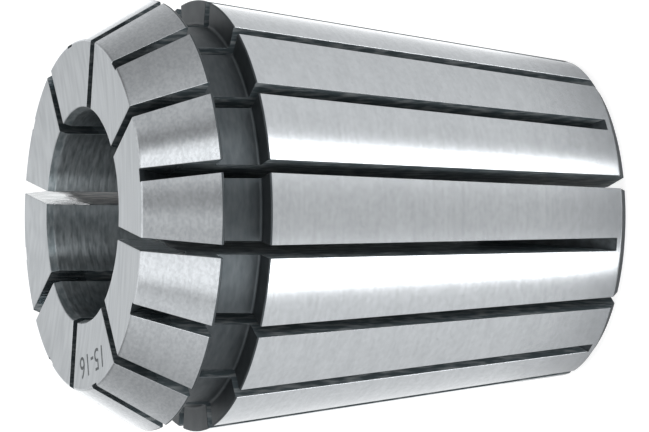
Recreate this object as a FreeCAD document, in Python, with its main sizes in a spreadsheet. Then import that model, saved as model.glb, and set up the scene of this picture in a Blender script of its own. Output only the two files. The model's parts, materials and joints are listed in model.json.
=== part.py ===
import FreeCAD, Part
import math
import os

import Sketcher

# A size 32 spring collet with a 16 mm bore, ground from one piece of spring steel and sawn
# into sixteen narrow slots. Lengths are millimetres and angles are degrees.
# The collet stands on its tail: +Z runs along its axis from the tail, at z = 0, to the nose.

os.makedirs("parts", exist_ok=True)
doc = FreeCAD.newDocument("collet_document")

# Driving dimensions: name, value, what it is
DIMENSIONS = [
    ("body_diameter", 33.0, "largest diameter, at the collar and at the foot of the nose cone"),
    ("overall_length", 40.0, "from the tail face to the nose face"),
    ("body_taper", 8.0, "angle between the body's ground flank and the axis"),
    ("nose_taper", 30.0, "angle between the nose cone's flank and the axis"),
    ("nose_length", 5.5, "length of the nose cone, which the clamping nut presses on"),
    ("nose_rim_chamfer", 0.25, "edge broken at the foot of the nose cone"),
    ("face_edge_chamfer", 0.12, "edge broken between the nose face and the cone"),
    ("groove_width", 3.6, "width of the groove that the nut's ring pulls on"),
    ("groove_depth", 1.9, "depth of that groove below the largest diameter"),
    ("groove_foot_radius", 0.2, "hollow round between the groove's floor and the collar"),
    ("collar_edge_chamfer", 0.25, "edge broken at the front of the collar"),
    ("tail_chamfer", 0.65, "chamfer round the outside of the tail"),
    ("bore_diameter", 16.0, "clamping bore, the shank's nominal size"),
    ("mouth_lead_width", 0.25, "radial width of the lead-in at the bore's mouth"),
    ("mouth_lead_length", 0.6, "length of that lead-in along the axis"),
    ("bore_tail_chamfer", 0.4, "chamfer at the bore's end in the tail face"),
    ("slots_per_end", 8, "slots sawn from each end, set half a step apart"),
    ("slot_width", 1.0, "width of the saw cut"),
    ("saw_diameter", 50.0, "slitting saw, whose curve the closed end of each slot keeps"),
    ("saw_overrun", 0.5, "how far the saw runs past the bore's wall"),
    ("tail_web", 1.0, "steel left outside between a nose slot's end and the tail face"),
    ("face_nick", 0.22, "how far a tail slot bites into the nose face's outer edge"),
    ("saw_approach", 2.0, "how far a cut is drawn clear of the steel, past its open sides"),
]

sizes = doc.addObject("Spreadsheet::Sheet", "sizes")
for row, (alias, number, note) in enumerate(DIMENSIONS, start=1):
    sizes.set(f"A{row}", alias)
    sizes.set(f"B{row}", str(number))
    sizes.set(f"C{row}", note)
    sizes.setAlias(f"B{row}", alias)
doc.recompute()

# Radii and heights that several features share, as expressions over the driving dimensions
RIM_RADIUS = "(sizes.body_diameter / 2)"
BORE_RADIUS = "(sizes.bore_diameter / 2)"
SAW_RADIUS = "(sizes.saw_diameter / 2)"
BODY_SLOPE = "tan(sizes.body_taper * 1deg)"
NOSE_SLOPE = "tan(sizes.nose_taper * 1deg)"
NOSE_FOOT_Z = "(sizes.overall_length - sizes.nose_length)"
COLLAR_Z = "(sizes.overall_length - sizes.nose_length - sizes.groove_width)"
FLOOR_RADIUS = f"({RIM_RADIUS} - sizes.groove_depth)"
TAIL_RADIUS = f"({RIM_RADIUS} - {COLLAR_Z} * {BODY_SLOPE})"
FACE_RADIUS = f"({RIM_RADIUS} - sizes.nose_length * {NOSE_SLOPE})"


def add_sketch(body, name):
    """An empty sketch on the body's own XZ plane: across is the radius, up is the axis."""
    sketch = body.newObject("Sketcher::SketchObject", name)
    plane = [item for item in body.Origin.OriginFeatures if item.Role == "XZ_Plane"][0]
    sketch.AttachmentSupport = [(plane, "")]
    sketch.MapMode = "FlatFace"
    doc.recompute()
    return sketch


def draw_outline(sketch, corners, arcs):
    """Draws a closed outline and ties each corner to its radius and height.

    corners lists (name, radius, height) in turn, as expressions. arcs gives, for the corner
    that an arc leaves, the expressions of its radius, centre radius and centre height.
    """
    def value(expression):
        return float(sketch.evalExpression(expression))

    places = [FreeCAD.Vector(value(across), value(up), 0) for name, across, up in corners]
    ends = []
    for index, (name, across, up) in enumerate(corners):
        start = places[index]
        finish = places[(index + 1) % len(corners)]
        if name not in arcs:
            sketch.addGeometry(Part.LineSegment(start, finish), False)
            ends.append((1, 2))
            continue
        radius, centre_across, centre_up = [value(expression) for expression in arcs[name]]
        centre = FreeCAD.Vector(centre_across, centre_up, 0)
        circle = Part.Circle(centre, FreeCAD.Vector(0, 0, 1), radius)
        first = math.atan2(start.y - centre.y, start.x - centre.x)
        last = math.atan2(finish.y - centre.y, finish.x - centre.x)
        turns_left = math.sin(last - first) > 0
        if turns_left:
            sketch.addGeometry(Part.ArcOfCircle(circle, first, last), False)
            ends.append((1, 2))
        else:
            sketch.addGeometry(Part.ArcOfCircle(circle, last, first), False)
            ends.append((2, 1))

    for index, (name, across, up) in enumerate(corners):
        start_end = ends[index][0]
        before = (index - 1) % len(corners)
        sketch.addConstraint(Sketcher.Constraint("Coincident", before, ends[before][1], index, start_end))
        measure(sketch, "DistanceX", index, start_end, f"{name}_radius", across, places[index].x)
        if up == "0":
            sketch.addConstraint(Sketcher.Constraint("PointOnObject", index, start_end, -1))
        else:
            measure(sketch, "DistanceY", index, start_end, f"{name}_height", up, places[index].y)
        if name in arcs:
            number = sketch.addConstraint(Sketcher.Constraint("Radius", index, value(arcs[name][0])))
            sketch.renameConstraint(number, f"{name}_arc")
            sketch.setExpression(f"Constraints.{name}_arc", arcs[name][0])


def measure(sketch, kind, edge, end, label, expression, number):
    """Ties one end of an edge to a distance from the sketch's origin, given by an expression."""
    index = sketch.addConstraint(Sketcher.Constraint(kind, -1, 1, edge, end, number))
    sketch.renameConstraint(index, label)
    sketch.setExpression(f"Constraints.{label}", expression)


collet = doc.addObject("PartDesign::Body", "collet")
collet.Label = "collet"

# Turned blank: one half section, from the bore's tail end round the outside to its mouth
section = add_sketch(collet, "blank_section")
draw_outline(
    section,
    [
        ("bore_tail", BORE_RADIUS, "sizes.bore_tail_chamfer"),
        ("tail_inner", f"{BORE_RADIUS} + sizes.bore_tail_chamfer", "0"),
        ("tail_outer", f"{TAIL_RADIUS} - sizes.tail_chamfer", "0"),
        ("flank_foot", f"{TAIL_RADIUS} + sizes.tail_chamfer * {BODY_SLOPE}", "sizes.tail_chamfer"),
        (
            "flank_top",
            f"{RIM_RADIUS} - sizes.collar_edge_chamfer * {BODY_SLOPE}",
            f"{COLLAR_Z} - sizes.collar_edge_chamfer",
        ),
        ("collar_face", f"{RIM_RADIUS} - sizes.collar_edge_chamfer", COLLAR_Z),
        ("collar_foot", f"{FLOOR_RADIUS} + sizes.groove_foot_radius", COLLAR_Z),
        ("floor_start", FLOOR_RADIUS, f"{COLLAR_Z} + sizes.groove_foot_radius"),
        ("floor_end", FLOOR_RADIUS, NOSE_FOOT_Z),
        ("rim_back", f"{RIM_RADIUS} - sizes.nose_rim_chamfer", NOSE_FOOT_Z),
        (
            "cone_foot",
            f"{RIM_RADIUS} - sizes.nose_rim_chamfer * {NOSE_SLOPE}",
            f"{NOSE_FOOT_Z} + sizes.nose_rim_chamfer",
        ),
        (
            "cone_top",
            f"{FACE_RADIUS} + sizes.face_edge_chamfer * {NOSE_SLOPE}",
            "sizes.overall_length - sizes.face_edge_chamfer",
        ),
        ("face_outer", f"{FACE_RADIUS} - sizes.face_edge_chamfer", "sizes.overall_length"),
        ("face_inner", f"{BORE_RADIUS} + sizes.mouth_lead_width", "sizes.overall_length"),
        ("bore_mouth", BORE_RADIUS, "sizes.overall_length - sizes.mouth_lead_length"),
    ],
    {
        "collar_foot": (
            "sizes.groove_foot_radius",
            f"{FLOOR_RADIUS} + sizes.groove_foot_radius",
            f"{COLLAR_Z} + sizes.groove_foot_radius",
        ),
    },
)
blank = collet.newObject("PartDesign::Revolution", "turned_blank")
blank.Profile = section
blank.ReferenceAxis = (section, ["V_Axis"])
blank.Angle = 360
doc.recompute()
blank_volume = blank.Shape.Volume

# Saw cuts: the saw's lowest point runs just inside the bore, and its centre stands above it.
# Where the cut ends, the saw's rim leaves a curve from the bore up to the outside.
CUT_FLOOR = f"({BORE_RADIUS} - sizes.saw_overrun)"
SAW_AXIS = f"({CUT_FLOOR} + {SAW_RADIUS})"
CUT_OUTSIDE = f"({RIM_RADIUS} + sizes.saw_approach)"


def saw_reach(radius):
    """How far along the axis the saw's rim lies from its centre, at a given radius."""
    return f"sqrt({SAW_RADIUS}^2 - ({SAW_AXIS} - {radius})^2)"


def saw_slots(name, corners, arcs):
    """Saws one slot and repeats it evenly round the axis; returns the sketch and pattern."""
    sketch = add_sketch(collet, f"{name}_path")
    draw_outline(sketch, corners, arcs)
    cut = collet.newObject("PartDesign::Pocket", f"{name}_cut")
    cut.Profile = sketch
    cut.Type = "Length"
    cut.SideType = "Symmetric"
    cut.setExpression("Length", "sizes.slot_width * 1mm")
    doc.recompute()
    pattern = collet.newObject("PartDesign::PolarPattern", f"{name}s")
    pattern.Originals = [cut]
    axis = [item for item in collet.Origin.OriginFeatures if item.Role == "Z_Axis"][0]
    pattern.Axis = (axis, [""])
    pattern.Angle = 360
    pattern.setExpression("Occurrences", "sizes.slots_per_end")
    collet.Tip = pattern
    return sketch, pattern


# Nose slots: open through the nose face, and closed just short of the tail face
WEB_RADIUS = f"({TAIL_RADIUS} + sizes.tail_web * {BODY_SLOPE})"
NOSE_SAW_Z = f"(sizes.tail_web + {saw_reach(WEB_RADIUS)})"
nose_path, nose_slots = saw_slots(
    "nose_slot",
    [
        ("run_out", CUT_OUTSIDE, f"{NOSE_SAW_Z} - {saw_reach(CUT_OUTSIDE)}"),
        ("saw_bottom", CUT_FLOOR, NOSE_SAW_Z),
        ("open_inner", CUT_FLOOR, "sizes.overall_length + sizes.saw_approach"),
        ("open_outer", CUT_OUTSIDE, "sizes.overall_length + sizes.saw_approach"),
    ],
    {"run_out": (SAW_RADIUS, SAW_AXIS, NOSE_SAW_Z)},
)
doc.recompute()
half_sawn_volume = collet.Shape.Volume

# Tail slots: half a step round, open through the tail face, and closed at the nose face's edge
NICK_RADIUS = f"({FACE_RADIUS} - sizes.face_nick)"
TAIL_SAW_Z = f"(sizes.overall_length - {saw_reach(NICK_RADIUS)})"
tail_path, tail_slots = saw_slots(
    "tail_slot",
    [
        ("open_outer", CUT_OUTSIDE, "-sizes.saw_approach"),
        ("open_inner", CUT_FLOOR, "-sizes.saw_approach"),
        ("saw_bottom", CUT_FLOOR, TAIL_SAW_Z),
        ("run_out", CUT_OUTSIDE, f"{TAIL_SAW_Z} + {saw_reach(CUT_OUTSIDE)}"),
    ],
    {"saw_bottom": (SAW_RADIUS, SAW_AXIS, TAIL_SAW_Z)},
)
tail_path.AttachmentOffset = FreeCAD.Placement(
    FreeCAD.Vector(0, 0, 0), FreeCAD.Rotation(FreeCAD.Vector(0, 1, 0), 1)
)
tail_path.setExpression(".AttachmentOffset.Rotation.Angle", "180deg / sizes.slots_per_end")
collet.Placement = FreeCAD.Placement()
doc.recompute()

# Nothing is written unless every feature has come out whole and each cut has taken steel away
for item in doc.Objects:
    if "Invalid" in item.State or "Error" in item.State:
        raise RuntimeError(f"{item.Label} did not compute: {item.State}")
if collet.Shape.isNull() or not collet.Shape.isValid() or len(collet.Shape.Solids) != 1:
    raise RuntimeError("the collet is not one valid solid")
if not blank_volume > half_sawn_volume > collet.Shape.Volume:
    raise RuntimeError("a set of slots cuts nothing")

collet.Shape.exportStep("parts/collet.step")
print("volume", round(collet.Shape.Volume, 2), "box", collet.Shape.BoundBox)
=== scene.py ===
import json
import math

import bpy
import numpy as np
from mathutils import Matrix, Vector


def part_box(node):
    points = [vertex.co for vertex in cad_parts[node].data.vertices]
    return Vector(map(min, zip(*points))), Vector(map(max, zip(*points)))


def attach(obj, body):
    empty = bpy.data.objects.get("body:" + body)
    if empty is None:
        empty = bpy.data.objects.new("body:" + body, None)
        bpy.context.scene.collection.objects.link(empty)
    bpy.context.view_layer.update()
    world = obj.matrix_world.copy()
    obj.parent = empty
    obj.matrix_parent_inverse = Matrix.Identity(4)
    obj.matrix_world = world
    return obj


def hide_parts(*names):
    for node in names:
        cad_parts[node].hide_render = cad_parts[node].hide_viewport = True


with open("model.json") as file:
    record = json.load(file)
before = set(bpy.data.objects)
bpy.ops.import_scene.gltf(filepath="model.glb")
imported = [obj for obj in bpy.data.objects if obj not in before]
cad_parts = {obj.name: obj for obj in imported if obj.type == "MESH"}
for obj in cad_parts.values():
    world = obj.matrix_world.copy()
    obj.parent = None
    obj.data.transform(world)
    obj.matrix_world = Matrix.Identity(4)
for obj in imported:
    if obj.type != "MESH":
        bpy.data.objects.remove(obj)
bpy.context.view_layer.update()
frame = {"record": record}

# Collet
# One piece of hardened spring steel: turned to its section, sawn from both ends into sixteen narrow
# slots, then ground on its flank, cone and faces. Its surface follows the solid's own section and saw
# paths, with the corners rolled and the slots' edges broken as grinding and tumbling leave them.
mm = 0.001
overall_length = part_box("collet")[1].z
mounts = {mount["name"]: mount for mount in frame["record"]["mounts"]}
bore_radius = mounts["bore"]["dims"]["r_mm"] * mm
body_radius = 16.5 * mm
body_slope = math.tan(math.radians(8))
nose_length = 5.5 * mm
nose_slope = math.tan(math.radians(30))
groove_width = 3.6 * mm
groove_depth = 1.9 * mm
collar_trim = 0.018 * mm
tail_chamfer = 0.65 * mm
bore_tail_chamfer = 0.4 * mm
mouth_lead_width = 0.25 * mm
mouth_lead_length = 0.6 * mm
nose_foot_z = overall_length - nose_length
collar_z = nose_foot_z - groove_width
groove_radius = body_radius - groove_depth
tail_radius = body_radius - collar_z * body_slope
face_radius = body_radius - nose_length * nose_slope

slots_per_end = 8
half_slot = 0.5 * mm
saw_radius = 25.0 * mm
saw_past_bore_wall = 0.5 * mm
saw_axis_radius = bore_radius - saw_past_bore_wall + saw_radius
tail_web = 1.0 * mm
face_nick = 0.22 * mm
edge_break = 0.025 * mm
break_run_out = 0.25 * mm
columns_between_slots = 12
sharp_from = math.radians(28)

# Zones of the surface that have a finish of their own, numbered in the order of their materials
GROUND, CONE, FACE, GROOVE, BORE, SAWN, SAW_END = range(7)

# The blank's half section, up the outside and down the bore. Each corner gives its radius, its height,
# the radius that it is rolled to, that arc's zone, and the zone of the stretch after it. The tail's
# chamfer has the groove's finish, and the collar's edge is trimmed a hair under the cone's.
section_corners = [
    (bore_radius, bore_tail_chamfer, 0.1 * mm, BORE, BORE),
    (bore_radius + bore_tail_chamfer, 0, 0.1 * mm, FACE, FACE),
    (tail_radius - tail_chamfer, 0, 0.15 * mm, FACE, GROOVE),
    (tail_radius + tail_chamfer * body_slope, tail_chamfer, 0.2 * mm, GROUND, GROUND),
    (body_radius - collar_trim, collar_z, 0.12 * mm, GROOVE, GROOVE),
    (groove_radius, collar_z, 0.2 * mm, GROOVE, GROOVE),
    (groove_radius, nose_foot_z, 0.12 * mm, GROOVE, GROOVE),
    (body_radius, nose_foot_z, 0.15 * mm, GROOVE, CONE),
    (face_radius, overall_length, 0.2 * mm, CONE, FACE),
    (bore_radius + mouth_lead_width, overall_length, 0.08 * mm, FACE, BORE),
    (bore_radius, overall_length - mouth_lead_length, 0.3 * mm, BORE, BORE),
]


def rolled_outline(corners, step_angle=math.radians(15), hold=0.08 * mm, longest=3.0 * mm):
    """Closed outline through the corners, each rolled into an arc tangent to both of its sides.

    A corner with half angle h, rolled to radius R, gives up R / tan(h) of each side. The arc's centre
    lies on the half-angle line, R / sin(h) from the corner, and its points are even in angle. A straight
    stretch gets a point a short hold from each end, and is then divided into equal parts.
    """
    places = np.array([corner[:2] for corner in corners], float)
    before = np.roll(places, 1, axis=0) - places
    after = np.roll(places, -1, axis=0) - places
    before /= np.linalg.norm(before, axis=1)[:, None]
    after /= np.linalg.norm(after, axis=1)[:, None]
    half = np.arccos((before * after).sum(1)) / 2
    arcs = []
    for place, back, ahead, half_angle, corner in zip(places, before, after, half, corners):
        radius = corner[2]
        start = place + back * radius / math.tan(half_angle)
        finish = place + ahead * radius / math.tan(half_angle)
        middle = back + ahead
        centre = place + middle / np.linalg.norm(middle) * radius / math.sin(half_angle)
        first = math.atan2(*(start - centre)[::-1])
        turn = math.remainder(math.atan2(*(finish - centre)[::-1]) - first, math.tau)
        angles = first + turn * np.linspace(0, 1, 1 + math.ceil(abs(turn) / step_angle))
        arcs.append(centre + radius * np.stack([np.cos(angles), np.sin(angles)], axis=1))
    points, zones = [], []
    for index, arc in enumerate(arcs):
        start, finish = arc[-1], arcs[(index + 1) % len(arcs)][0]
        length = np.linalg.norm(finish - start)
        shares = np.array([])
        if length > 4 * hold:
            parts = 1 + math.ceil((length - 2 * hold) / longest)
            shares = np.linspace(hold, length - hold, parts) / length
        points += [arc, start + shares[:, None] * (finish - start)]
        zones += [corners[index][3]] * (len(arc) - 1) + [corners[index][4]] * (len(shares) + 1)
    return np.concatenate(points), np.array(zones)


def with_point(points, zones, place):
    """The outline with one more point, set into the segment that passes nearest to it.

    A segment's nearest point is its start plus the share of its length that the way to the place has
    along it, held between 0 and 1.
    """
    along = np.roll(points, -1, axis=0) - points
    share = np.clip(((place - points) * along).sum(1) / (along**2).sum(1), 0, 1)
    gap = np.linalg.norm(points + share[:, None] * along - place, axis=1)
    nearest = int(gap.argmin())
    return np.insert(points, nearest + 1, place, axis=0), np.insert(zones, nearest, zones[nearest])


def saw_reach(radius):
    """How far along the axis the saw's rim lies from its centre, at a radius of the collet.

    It is the root of the saw's radius squared less the square of its axis's distance from that radius.
    """
    return math.sqrt(saw_radius**2 - (saw_axis_radius - radius) ** 2)


# Where each slot's saw arc leaves the section: the slots from the nose stop just short of the tail,
# and those from the tail stop just inside the nose face's edge.
web_radius = tail_radius + tail_web * body_slope
nick_radius = face_radius - face_nick
nose_saw_z = tail_web + saw_reach(web_radius)
tail_saw_z = overall_length - saw_reach(nick_radius)
nose_slot_start = (web_radius, tail_web)
nose_slot_end = (bore_radius, nose_saw_z - saw_reach(bore_radius))
tail_slot_start = (bore_radius, tail_saw_z + saw_reach(bore_radius))
tail_slot_end = (nick_radius, overall_length)

# The outline gets a point where each arc leaves it, and one a little further in, where the slot's broken
# edge reaches its full width. At the nose face the rolled edge's own last point serves for that.
outline, zones = rolled_outline(section_corners)
for place in (
    nose_slot_start,
    (web_radius + break_run_out * body_slope, tail_web + break_run_out),
    nose_slot_end,
    (bore_radius, nose_slot_end[1] + break_run_out),
    tail_slot_start,
    (bore_radius, tail_slot_start[1] - break_run_out),
    tail_slot_end,
):
    outline, zones = with_point(outline, zones, np.array(place))


def sawn_stretch(start, end):
    """Numbers of the outline's points that a slot cuts, from where its saw arc leaves to where it returns."""
    first = int(np.linalg.norm(outline - start, axis=1).argmin())
    last = int(np.linalg.norm(outline - end, axis=1).argmin())
    return (first + np.arange((last - first) % len(outline) + 1)) % len(outline)


def saw_arc(saw_z, start, end, parts=14):
    """Points between the two ends of a slot's closed side, on the circle that the saw's rim leaves."""
    centre = np.array([saw_axis_radius, saw_z])
    first = math.atan2(*(np.array(end) - centre)[::-1])
    turn = math.remainder(math.atan2(*(np.array(start) - centre)[::-1]) - first, math.tau)
    angles = first + turn * np.arange(1, parts) / parts
    return centre + saw_radius * np.stack([np.cos(angles), np.sin(angles)], axis=1)


def inset_outline(distance):
    """The outline moved into the steel: each point goes along the mitre of its two segments' normals."""
    along = np.roll(outline, -1, axis=0) - outline
    inward = np.stack([-along[:, 1], along[:, 0]], axis=1) / np.linalg.norm(along, axis=1)[:, None]
    earlier = np.roll(inward, 1, axis=0)
    return outline + distance * (inward + earlier) / (1 + (inward * earlier).sum(1))[:, None]


def beside_slot(azimuth, lateral, section_points):
    """Points of the section carried to one side of a slot.

    A point at radius r lies at the angle asin(lateral / r) from the slot's middle.
    """
    radius, height = section_points.T
    angle = azimuth + np.arcsin(lateral / radius)
    return np.stack([radius * np.cos(angle), radius * np.sin(angle), height], axis=1)


def collet_surface():
    """Vertices, faces and face zones of the whole collet, closed and with every face outwards.

    The outline is turned round the axis as a grid, whose columns are the two edges of each slot and
    even steps between them. Where a slot is sawn, the grid's faces across it are left out. A narrow
    strip breaks each edge, a flat wall fills each side, and a strip along the saw's arc ends the slot.
    """
    slots = 2 * slots_per_end
    from_nose = np.arange(slots) % 2 == 0
    azimuths = math.tau * np.arange(slots) / slots
    cuts = {
        True: (
            sawn_stretch(nose_slot_start, nose_slot_end),
            saw_arc(nose_saw_z, nose_slot_start, nose_slot_end),
        ),
        False: (
            sawn_stretch(tail_slot_start, tail_slot_end),
            saw_arc(tail_saw_z, tail_slot_start, tail_slot_end),
        ),
    }
    lateral = np.full((len(outline), slots), half_slot)
    open_rows = np.zeros((len(outline), slots), bool)
    for nose_side, (stretch, _) in cuts.items():
        lateral[np.ix_(stretch[1:-1], from_nose == nose_side)] += edge_break
        open_rows[np.ix_(stretch[:-1], from_nose == nose_side)] = True

    # Grid of the turned outline: columns run left edge, right edge, then the steps to the next slot
    spread = np.arcsin(lateral / outline[:, :1])
    left = azimuths - spread
    right = azimuths + spread
    next_left = np.roll(left, -1, axis=1)
    next_left[:, -1] += math.tau
    steps = np.arange(1, columns_between_slots) / columns_between_slots
    between = right[:, :, None] + (next_left - right)[:, :, None] * steps
    angles = np.concatenate([left[:, :, None], right[:, :, None], between], axis=2)
    per_slot = angles.shape[2]
    angles = angles.reshape(len(outline), -1)
    rows, columns = angles.shape
    radius, height = outline[:, :1], outline[:, 1:]
    grid = np.stack([radius * np.cos(angles), radius * np.sin(angles), height + 0 * angles], axis=2)
    number = np.arange(rows * columns).reshape(rows, columns)
    beside = np.roll(number, -1, axis=1)
    quads = np.stack([number, beside, np.roll(beside, -1, axis=0), np.roll(number, -1, axis=0)], axis=2)
    kept = np.ones((rows, columns), bool)
    kept[:, ::per_slot] = ~open_rows
    grid_zones = np.broadcast_to(zones[:, None], (rows, columns))

    # Sides and closed end of each slot
    vertices = [grid.reshape(-1, 3)]
    faces = quads[kept].tolist()
    face_zones = [grid_zones[kept]]
    count = rows * columns
    inset = inset_outline(edge_break)
    for slot, azimuth in enumerate(azimuths):
        stretch, arc = cuts[bool(from_nose[slot])]
        sides = {}
        for side, column in ((-1, slot * per_slot), (1, slot * per_slot + 1)):
            wall = beside_slot(azimuth, side * half_slot, np.concatenate([inset[stretch[1:-1]], arc]))
            vertices.append(wall)
            wall_numbers = count + np.arange(len(wall))
            count += len(wall)
            edge = number[stretch, column]
            inner = np.concatenate([edge[:1], wall_numbers[: len(stretch) - 2], edge[-1:]])
            rim = np.concatenate([edge[-1:], wall_numbers[len(stretch) - 2:], edge[:1]])
            strip = np.stack([inner[:-1], edge[:-1], edge[1:], inner[1:]], axis=1)[:, ::side]
            faces += [
                [corner for turn, corner in enumerate(face) if corner != face[turn - 1]]
                for face in strip.tolist()
            ]
            faces.append(np.concatenate([inner, rim[1:-1]])[::side].tolist())
            face_zones += [zones[stretch[:-1]], [SAWN]]
            sides[side] = rim
        faces += np.stack([sides[1][1:], sides[1][:-1], sides[-1][:-1], sides[-1][1:]], axis=1).tolist()
        face_zones.append([SAW_END] * (len(sides[1]) - 1))
    return np.concatenate(vertices), faces, np.concatenate(face_zones)


def new_piece(name, vertices, faces):
    """A mesh object in the scene, at the origin, made from vertices and faces."""
    mesh = bpy.data.meshes.new(name)
    mesh.from_pydata(vertices.tolist(), [], faces)
    piece = bpy.data.objects.new(name, mesh)
    bpy.context.scene.collection.objects.link(piece)
    return piece


vertices, faces, face_zones = collet_surface()
collet = new_piece("collet_ground", vertices, faces)
collet.data.polygons.foreach_set("material_index", face_zones.astype(np.int32))
collet.data.polygons.foreach_set("use_smooth", np.ones(len(collet.data.polygons), bool))
collet.data.set_sharp_from_angle(angle=sharp_from)


# Finishes of the collet's zones. Each is hardened steel whose grinding, turning or honing lines run
# round the axis, so its reflections are drawn out across them, and its noise is streaked along them.
def steel(name, roughness, drawn_out, bare=1.0):
    """A metal with its roughness, anisotropy and share of bare metal set, the rest being scale."""
    material = bpy.data.materials.new(name)
    material.use_nodes = True
    nodes, links = material.node_tree.nodes, material.node_tree.links
    shader = nodes["Principled BSDF"]
    shader.inputs["Metallic"].default_value = bare
    shader.inputs["Roughness"].default_value = roughness
    shader.inputs["Anisotropic"].default_value = drawn_out
    shader.inputs["Anisotropic Rotation"].default_value = 0.25
    return material, nodes, links, shader


def feed(links, socket, term):
    """Gives a socket its term: another node's output, or a fixed number, vector or colour."""
    if isinstance(term, bpy.types.NodeSocket):
        links.new(term, socket)
    else:
        socket.default_value = term


def worked_out(nodes, links, operation, *terms):
    """Result of one step of arithmetic on its terms."""
    step = nodes.new("ShaderNodeMath")
    step.operation = operation
    for socket, term in zip(step.inputs, terms):
        feed(links, socket, term)
    return step.outputs[0]


def vector_worked_out(nodes, links, operation, *terms):
    """Result of one step of vector arithmetic on its terms: a number for a length or a dot product."""
    step = nodes.new("ShaderNodeVectorMath")
    step.operation = operation
    for socket, term in zip(step.inputs, terms):
        feed(links, socket, term)
    return step.outputs["Value" if operation in ("LENGTH", "DOT_PRODUCT") else "Vector"]


def place_on_object(nodes):
    """The shaded point in the object's own coordinates, in metres."""
    return nodes.new("ShaderNodeTexCoord").outputs["Object"]


def parts_of(nodes, links, vector):
    """The x, y and z of a vector."""
    parts = nodes.new("ShaderNodeSeparateXYZ")
    links.new(vector, parts.inputs[0])
    return parts.outputs["X"], parts.outputs["Y"], parts.outputs["Z"]


def scaled_noise(nodes, links, place, scale, detail):
    """Noise at a place whose coordinates are first multiplied by the scale."""
    mapping = nodes.new("ShaderNodeMapping")
    mapping.inputs["Scale"].default_value = scale
    noise = nodes.new("ShaderNodeTexNoise")
    noise.inputs["Scale"].default_value = 1
    noise.inputs["Detail"].default_value = detail
    links.new(place, mapping.inputs["Vector"])
    links.new(mapping.outputs["Vector"], noise.inputs["Vector"])
    return noise.outputs["Fac"]


def streaks(nodes, links, across, along_axis, detail=2.0):
    """Noise on the object's coordinates, with its grains so many metres across x and y and along the axis."""
    scale = (1 / across, 1 / across, 1 / along_axis)
    return scaled_noise(nodes, links, place_on_object(nodes), scale, detail)


def spread_to(nodes, links, value, low, high, low_at=0.3, high_at=0.7, shape="LINEAR"):
    """Carries a value from the stretch low_at to high_at over to low to high, and holds it there."""
    ranged = nodes.new("ShaderNodeMapRange")
    ranged.interpolation_type = shape
    ranged.inputs["From Min"].default_value = low_at
    ranged.inputs["From Max"].default_value = high_at
    ranged.inputs["To Min"].default_value = low
    ranged.inputs["To Max"].default_value = high
    links.new(value, ranged.inputs["Value"])
    return ranged.outputs["Result"]


def colour_between(nodes, links, factor, first, second):
    """Colour between two others by a factor from 0 to 1."""
    mix = nodes.new("ShaderNodeMix")
    mix.data_type = "RGBA"
    links.new(factor, mix.inputs["Factor"])
    ends = [socket for socket in mix.inputs if socket.type == "RGBA"]
    feed(links, ends[0], first)
    feed(links, ends[1], second)
    return [socket for socket in mix.outputs if socket.type == "RGBA"][0]


def shade_between(nodes, links, shader, factor, dark, light):
    """Base colour between a dark and a light one, by a factor from 0 to 1."""
    shade = colour_between(nodes, links, factor, (*dark, 1), (*light, 1))
    links.new(shade, shader.inputs["Base Color"])


def raise_bumps(nodes, links, shader, heights, depth):
    """Bump of the given depth in metres from the sum of the heights, each a value with its share."""
    total = 0
    for value, share in heights:
        total = worked_out(nodes, links, "MULTIPLY_ADD", value, share, total)
    bump = nodes.new("ShaderNodeBump")
    bump.inputs["Strength"].default_value = 1
    bump.inputs["Distance"].default_value = depth
    links.new(total, bump.inputs["Height"])
    links.new(bump.outputs["Normal"], shader.inputs["Normal"])


def lines_round(nodes, links, shader, centre=(0, 0, 0)):
    """Points the grinding lines round a vertical axis through the centre: Z crossed with the way from it."""
    from_centre = vector_worked_out(nodes, links, "SUBTRACT", place_on_object(nodes), centre)
    around = vector_worked_out(nodes, links, "CROSS_PRODUCT", (0, 0, 1), from_centre)
    links.new(vector_worked_out(nodes, links, "NORMALIZE", around), shader.inputs["Tangent"])
    return from_centre


def ground_outside(name, grain, mottled, lined, uneven, dark, light):
    """Ground round the axis: softly mottled in grains of the given size, faintly lined, with few dark specks.

    Its tone is 0.5, and each noise adds its share of how far it stands above its middle.
    """
    material, nodes, links, shader = steel(name, roughness=0.23, drawn_out=0.78)
    lines_round(nodes, links, shader)
    mottle = streaks(nodes, links, 1.5 * grain, grain, detail=1)
    lines = streaks(nodes, links, 5 * mm, 0.3 * mm, detail=1)
    cloud = streaks(nodes, links, 2.5 * mm, 1.4 * mm, detail=1)
    specks = streaks(nodes, links, 0.5 * mm, 0.3 * mm, detail=0)
    waves = streaks(nodes, links, 0.8 * mm, 0.4 * mm, detail=1)
    raise_bumps(nodes, links, shader, [(waves, 0.4), (lines, 0.3)], uneven)
    clouded = 0.4
    tone = 0.5 - 0.5 * (mottled + lined + clouded)
    for value, share in ((mottle, mottled), (lines, lined), (cloud, clouded)):
        tone = worked_out(nodes, links, "MULTIPLY_ADD", spread_to(nodes, links, value, 0, 1), share, tone)
    darkening = spread_to(nodes, links, specks, -3, 0, low_at=0.14, high_at=0.18)
    shade_between(nodes, links, shader, worked_out(nodes, links, "ADD", tone, darkening), dark, light)
    return material


def ground_flank():
    """Flank: the finest grinding."""
    return ground_outside(
        "ground_flank",
        grain=0.35 * mm,
        mottled=0.6,
        lined=0.35,
        uneven=0.004 * mm,
        dark=(0.69, 0.722, 0.75),
        light=(0.79, 0.824, 0.855),
    )


def ground_cone():
    """Cone: mottled more strongly than the flank, in smaller grains, on a smoother surface."""
    return ground_outside(
        "ground_cone",
        grain=0.22 * mm,
        mottled=1.0,
        lined=0.4,
        uneven=0.0015 * mm,
        dark=(0.66, 0.692, 0.722),
        light=(0.79, 0.824, 0.855),
    )


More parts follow.
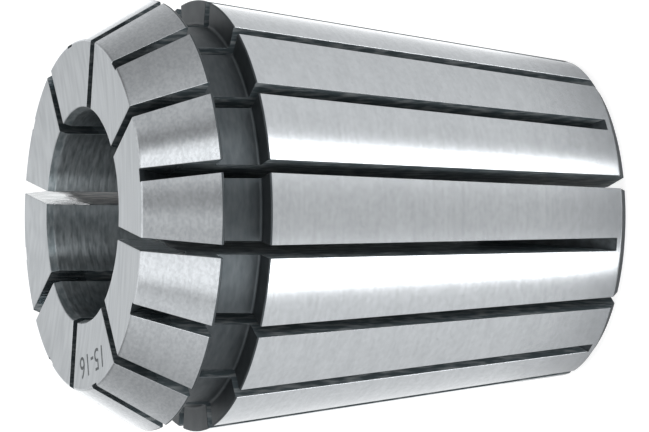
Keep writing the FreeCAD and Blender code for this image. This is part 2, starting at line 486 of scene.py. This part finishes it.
def ground_face():
    """Nose and tail faces: ground in arcs struck from beside the collet, so the lines cross the face.

    Their noise is looked up at the distance from the arcs' centre and the angle round it, so that its
    grains are so many metres across the arcs and, over the face, along them.
    """
    wheel_distance = 24 * mm
    wheel_azimuth = math.radians(99.34)
    arc_centre = (wheel_distance * math.cos(wheel_azimuth), wheel_distance * math.sin(wheel_azimuth), 0)
    material, nodes, links, shader = steel("ground_face", roughness=0.36, drawn_out=0.8)
    from_centre = lines_round(nodes, links, shader, arc_centre)
    x, y = parts_of(nodes, links, from_centre)[:2]
    polar = nodes.new("ShaderNodeCombineXYZ")
    links.new(vector_worked_out(nodes, links, "LENGTH", from_centre), polar.inputs["X"])
    links.new(worked_out(nodes, links, "ARCTAN2", y, x), polar.inputs["Y"])

    def arcs(across, along):
        """Noise in arcs, by the size of its grains."""
        scale = (1 / across, wheel_distance / along, 1)
        return scaled_noise(nodes, links, polar.outputs["Vector"], scale, detail=1)

    scratches = arcs(0.25 * mm, 3.5 * mm)
    bands = arcs(0.9 * mm, 12 * mm)
    raise_bumps(nodes, links, shader, [(scratches, 0.5), (bands, 0.8)], 0.004 * mm)
    tone = spread_to(nodes, links, scratches, 0, 1)
    shade_between(nodes, links, shader, tone, (0.595, 0.626, 0.65), (0.7, 0.733, 0.757))
    return material


def turned_groove():
    """Groove: turned and left dark from hardening, with fine tool lines."""
    material, nodes, links, shader = steel("turned_groove", roughness=0.45, drawn_out=0.3, bare=0.9)
    lines_round(nodes, links, shader)
    lines = streaks(nodes, links, 20 * mm, 0.3 * mm, detail=1)
    fine = streaks(nodes, links, 1.2 * mm, 0.4 * mm)
    raise_bumps(nodes, links, shader, [(lines, 0.7), (fine, 0.5)], 0.004 * mm)
    tone = spread_to(nodes, links, fine, 0, 1)
    shade_between(nodes, links, shader, tone, (0.08, 0.093, 0.101), (0.113, 0.127, 0.136))
    return material


def honed_bore():
    """Bore: honed, with ragged lines round the axis; its colour is painted darker than the outside as shade
    inside the bore, and darker still on its lead-in as painted shade.
    """
    material, nodes, links, shader = steel("honed_bore", roughness=0.35, drawn_out=0.99)
    lines_round(nodes, links, shader)
    ragged = streaks(nodes, links, 2 * mm, 0.36 * mm, detail=1)
    fine = streaks(nodes, links, 0.8 * mm, 0.3 * mm)
    raise_bumps(nodes, links, shader, [(ragged, 1), (fine, 0.15)], 0.05 * mm)
    height = parts_of(nodes, links, place_on_object(nodes))[2]
    lead_foot = overall_length - mouth_lead_length
    lead_top = lead_foot + 0.1 * mm
    honed = spread_to(nodes, links, fine, 0.4, 1, low_at=0.35, high_at=0.65)
    # Painted shade: the colour is darkened on the mouth's lead-in.
    lead_painted_shade = spread_to(nodes, links, height, 0, -0.5, low_at=lead_foot, high_at=lead_top)
    tone = worked_out(nodes, links, "ADD", honed, lead_painted_shade)
    # Painted shade: the bore's dark and light colours sit well below the outside's, for the shade inside the
    # bore.
    shade_between(nodes, links, shader, tone, (0.2, 0.235, 0.25), (0.45, 0.489, 0.51))
    return material


def sawn_slot():
    """Slots: sawn before hardening and scaled dark, but rubbed bright for a few millimetres at the nose."""
    material, nodes, links, shader = steel("sawn_slot", roughness=0.5, drawn_out=0.3)
    shader.inputs["Specular IOR Level"].default_value = 0.15
    lines_round(nodes, links, shader)
    sawn = streaks(nodes, links, 0.3 * mm, 1.5 * mm)
    raise_bumps(nodes, links, shader, [(sawn, 1)], 0.02 * mm)
    height = parts_of(nodes, links, place_on_object(nodes))[2]
    blotches = streaks(nodes, links, 1.5 * mm, 0.6 * mm)
    ragged_height = worked_out(nodes, links, "MULTIPLY_ADD", blotches, 2 * mm, height)
    rubbed_foot = overall_length - 2.8 * mm
    rubbed_top = rubbed_foot + 1.2 * mm
    rubbed = spread_to(nodes, links, ragged_height, 0, 1, low_at=rubbed_foot, high_at=rubbed_top)
    links.new(spread_to(nodes, links, rubbed, 0.5, 0.1, 0, 1), shader.inputs["Roughness"])
    links.new(spread_to(nodes, links, rubbed, 0.1, 0.7, 0, 1), shader.inputs["Metallic"])
    marks = spread_to(nodes, links, sawn, 0, 1, low_at=0.45, high_at=0.7)
    shade_between(nodes, links, shader, marks, (0.12, 0.15, 0.165), (0.38, 0.41, 0.425))
    return material


def sawn_end():
    """Closed ends of the slots, on the saw's arc: dark scale, with the colour painted darker still as shade
    at the slot's closed end.
    """
    material, nodes, links, shader = steel("sawn_end", roughness=0.45, drawn_out=0.3, bare=0.3)
    lines_round(nodes, links, shader)
    fine = streaks(nodes, links, 0.5 * mm, 0.5 * mm)
    tone = spread_to(nodes, links, fine, 0, 1)
    # Painted shade: these colours sit below the slot walls', for the shade at the slot's closed end.
    shade_between(nodes, links, shader, tone, (0.025, 0.032, 0.036), (0.06, 0.072, 0.08))
    return material


for finish in (ground_flank, ground_cone, ground_face, turned_groove, honed_bore, sawn_slot, sawn_end):
    collet.data.materials.append(finish())
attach(collet, "root")
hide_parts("collet")

# Size mark
# Plain numbers, the clamping range in millimetres, etched dark on the nose face between two slots, with
# their feet towards the bore. They are a layer a few micrometres thick, half sunk in the face.
mark_radius = 11.3 * mm
mark_azimuth = math.radians(-157.7)
digit_height = 1.7 * mm
digit_share_of_size = 0.7
mark_curve = bpy.data.curves.new("size_mark", "FONT")
mark_curve.body = "15-16"
mark_curve.align_x = "CENTER"
mark_curve.align_y = "CENTER"
mark_curve.size = digit_height / digit_share_of_size
mark_curve.extrude = 0.004 * mm
written = bpy.data.objects.new("size_mark_written", mark_curve)
bpy.context.scene.collection.objects.link(written)
bpy.context.view_layer.update()
mark_mesh = bpy.data.meshes.new_from_object(written.evaluated_get(bpy.context.evaluated_depsgraph_get()))
bpy.data.objects.remove(written)
flat = np.zeros(len(mark_mesh.vertices) * 3)
mark_mesh.vertices.foreach_get("co", flat)
across, along, up = flat.reshape(-1, 3, 1).transpose(1, 0, 2)
outward = np.array([math.cos(mark_azimuth), math.sin(mark_azimuth), 0])
rightward = np.array([outward[1], -outward[0], 0])
upward = np.array([0, 0, 1])
placed = across * rightward + (mark_radius + along) * outward + (overall_length + up) * upward
mark_mesh.vertices.foreach_set("co", placed.ravel())
mark_mesh.update()
size_mark = bpy.data.objects.new("size_mark", mark_mesh)
bpy.context.scene.collection.objects.link(size_mark)
mark_material, mark_nodes, mark_links, mark_shader = steel("etched_mark", roughness=0.6, drawn_out=0)
etching = streaks(mark_nodes, mark_links, 0.12 * mm, 0.12 * mm)
mark_tone = spread_to(mark_nodes, mark_links, etching, 0, 1)
shade_between(mark_nodes, mark_links, mark_shader, mark_tone, (0.13, 0.145, 0.15), (0.27, 0.29, 0.3))
size_mark.data.materials.append(mark_material)
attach(size_mark, "root")

# Camera
# Far off with a long lens, looking at the nose from the side, and turned so that the nose points left
# in the picture.
view_side = math.radians(-80.66)
nose_turn = math.radians(68.68)
camera_roll = 0.0061
camera_distance = 603 * mm
aim_right = -0.206 * mm
aim_up = 0.041 * mm
axis = np.array([0, 0, 1])
side = np.array([math.cos(view_side), math.sin(view_side), 0])
picture_up = np.array([-math.sin(view_side), math.cos(view_side), 0])
picture_right = -math.sin(nose_turn) * axis + math.cos(nose_turn) * side
backward = math.cos(nose_turn) * axis + math.sin(nose_turn) * side
aim = axis * overall_length / 2 + aim_right * picture_right + aim_up * picture_up
rolled_right = math.cos(camera_roll) * picture_right + math.sin(camera_roll) * picture_up
rolled_up = math.cos(camera_roll) * picture_up - math.sin(camera_roll) * picture_right
turned_and_placed = np.eye(4)
turned_and_placed[:3] = np.stack(
    [rolled_right, rolled_up, backward, aim + camera_distance * backward], axis=1
)
camera = bpy.data.objects.new("camera", bpy.data.cameras.new("camera"))
camera.data.sensor_width = 36
camera.data.lens = 435.3
camera.data.clip_start = 10 * mm
camera.matrix_world = Matrix(turned_and_placed)
bpy.context.scene.collection.objects.link(camera)
bpy.context.scene.camera = camera

# Studio
# Grey light from all round, brightest behind the collet, with a bright strip low down on each side of the
# camera, two lamps whose reflections are the bands in the bore, and a soft light overhead. Levels are
# given by the angle round the collet from the camera's side. The camera itself sees plain white.
strip = 4.0
ramp_top = strip
low_levels = [
    (-180, 1.9), (-165, 1.15), (-152, 0.88), (-136, 0.74), (-124, 0.68), (-114, 0.65), (-71, 0.69),
    (-49, 0.7), (-43, 0.76), (-39.5, strip), (-27, strip), (-22, 0.64), (-12, 0.57), (-7, 0.53),
    (8, 0.54), (23, 0.62), (31, 0.7), (34, strip), (40.5, strip), (44.5, 0.68), (54, 0.64),
    (66, 0.68), (99, 0.64), (116, 0.62), (138, 0.66), (155, 0.9), (160, 1.6), (180, 1.9),
]
high_levels = [
    (-180, 0.65), (-160, 0.45), (-145, 0.28), (-128, 0.2), (-119, 0.21), (-106, 0.33), (-87, 0.5),
    (-60, 0.72), (-54, 0.66), (-49.5, 0.16), (-47.5, 0.35), (-45, 0.92), (-34, 0.86), (-23, 0.93),
    (-20, 0.5), (-12, 0.4), (-2, 0.58), (7, 0.27), (12, 0.23), (19, 0.38), (30, 0.75), (33, 1.0),
    (44.5, 1.17), (46.5, 0.06), (53, 0.12), (61, 0.5), (80, 0.48), (95, 0.33), (112, 0.2),
    (130, 0.13), (155, 0.35), (180, 0.65),
]
lamp_levels = [
    (-45, 0), (-42, 1.25), (-30, 1.25), (-27, 0), (25, 0), (28, 1.0), (38, 1.0), (41, 0),
]

# Heights in the room, as the ray's share along the axis: where the low levels pass into the high ones,
# how high the lamps stand and how far they reach up and down, and where the overhead light comes in
low_until = -0.4
high_from = 0.6
lamp_height = 0.24
lamp_spread = 0.17
overhead_from = 0.7
overhead_full = 0.9
overhead_level = 0.4
world = bpy.data.worlds.new("studio")
world.use_nodes = True
bpy.context.scene.world = world
nodes, links = world.node_tree.nodes, world.node_tree.links
ray = nodes.new("ShaderNodeTexCoord").outputs["Generated"]
along_axis = vector_worked_out(nodes, links, "DOT_PRODUCT", ray, axis)
along_up = vector_worked_out(nodes, links, "DOT_PRODUCT", ray, picture_up)
along_side = vector_worked_out(nodes, links, "DOT_PRODUCT", ray, side)
angle_round = worked_out(nodes, links, "ARCTAN2", along_up, along_side)
turn_share = spread_to(nodes, links, angle_round, 0, 1, low_at=-math.pi, high_at=math.pi)


def level_ramp(levels):
    """Grey level round the collet, as a share of the ramp's top, from a list of degrees and levels."""
    ramp = nodes.new("ShaderNodeValToRGB")
    stops = ramp.color_ramp.elements
    while len(stops) < len(levels):
        stops.new(1)
    for stop, (degrees, level) in zip(stops, levels):
        stop.position = (degrees + 180) / 360
        stop.color = (level / ramp_top, level / ramp_top, level / ramp_top, 1)
    links.new(turn_share, ramp.inputs["Fac"])
    return ramp.outputs["Color"]


height_share = spread_to(nodes, links, along_axis, 0, 1, low_until, high_from, "SMOOTHSTEP")
room = colour_between(nodes, links, height_share, level_ramp(low_levels), level_ramp(high_levels))
above_lamp = worked_out(nodes, links, "SUBTRACT", along_axis, lamp_height)
off_lamp = worked_out(nodes, links, "ABSOLUTE", above_lamp)
lamp_share = spread_to(nodes, links, off_lamp, 0, 1, lamp_spread, 0, "SMOOTHSTEP")
room_and_lamps = worked_out(nodes, links, "MULTIPLY_ADD", level_ramp(lamp_levels), lamp_share, room)
overhead = spread_to(
    nodes, links, along_axis, 0, overhead_level, overhead_from, overhead_full, "SMOOTHSTEP"
)
level = worked_out(nodes, links, "MULTIPLY_ADD", room_and_lamps, ramp_top, overhead)
lit = nodes["Background"]
lit.inputs["Color"].default_value = (1, 1, 1, 1)
links.new(level, lit.inputs["Strength"])
seen = nodes.new("ShaderNodeBackground")
seen.inputs["Color"].default_value = (1, 1, 1, 1)
choose = nodes.new("ShaderNodeMixShader")
links.new(nodes.new("ShaderNodeLightPath").outputs["Is Camera Ray"], choose.inputs["Fac"])
links.new(lit.outputs["Background"], choose.inputs[1])
links.new(seen.outputs["Background"], choose.inputs[2])
links.new(choose.outputs["Shader"], nodes["World Output"].inputs["Surface"])

# Floor
# A plain pale sheet that the collet stands on, lit up for the camera alone, which sees the shadow on it.
# Light passes through it, and so do reflections: all of them far out, about a third close to the foot.
floor_half = 1.5
floor_colour = 0.5
floor_glow = 0.85
foot_reach = 13 * mm
clear_reach = 23 * mm
clear_at_foot = 0.35
floor_corners = floor_half * np.array([[-1, -1, 0], [1, -1, 0], [1, 1, 0], [-1, 1, 0]])
floor = new_piece("floor", floor_corners, [[0, 1, 2, 3]])
floor_material = bpy.data.materials.new("pale_floor")
floor_material.use_nodes = True
nodes, links = floor_material.node_tree.nodes, floor_material.node_tree.links
nodes.remove(nodes["Principled BSDF"])
path = nodes.new("ShaderNodeLightPath")
sheet = nodes.new("ShaderNodeBsdfDiffuse")
sheet.inputs["Color"].default_value = (floor_colour, floor_colour, floor_colour, 1)
glow = nodes.new("ShaderNodeEmission")
glow_level = worked_out(nodes, links, "MULTIPLY", path.outputs["Is Camera Ray"], floor_glow)
links.new(glow_level, glow.inputs["Strength"])
pale = nodes.new("ShaderNodeAddShader")
links.new(sheet.outputs["BSDF"], pale.inputs[0])
links.new(glow.outputs["Emission"], pale.inputs[1])
clear = nodes.new("ShaderNodeBsdfTransparent")
from_foot = vector_worked_out(nodes, links, "LENGTH", place_on_object(nodes))
beyond = spread_to(nodes, links, from_foot, clear_at_foot, 1, foot_reach, clear_reach)
mirrored = worked_out(nodes, links, "MULTIPLY", path.outputs["Is Glossy Ray"], beyond)
passes = worked_out(nodes, links, "MAXIMUM", mirrored, path.outputs["Is Shadow Ray"])
surface = nodes.new("ShaderNodeMixShader")
links.new(passes, surface.inputs["Fac"])
links.new(pale.outputs["Shader"], surface.inputs[1])
links.new(clear.outputs["BSDF"], surface.inputs[2])
links.new(surface.outputs["Shader"], nodes["Material Output"].inputs["Surface"])
floor.data.materials.append(floor_material)

bpy.context.scene.view_settings.view_transform = "Standard"
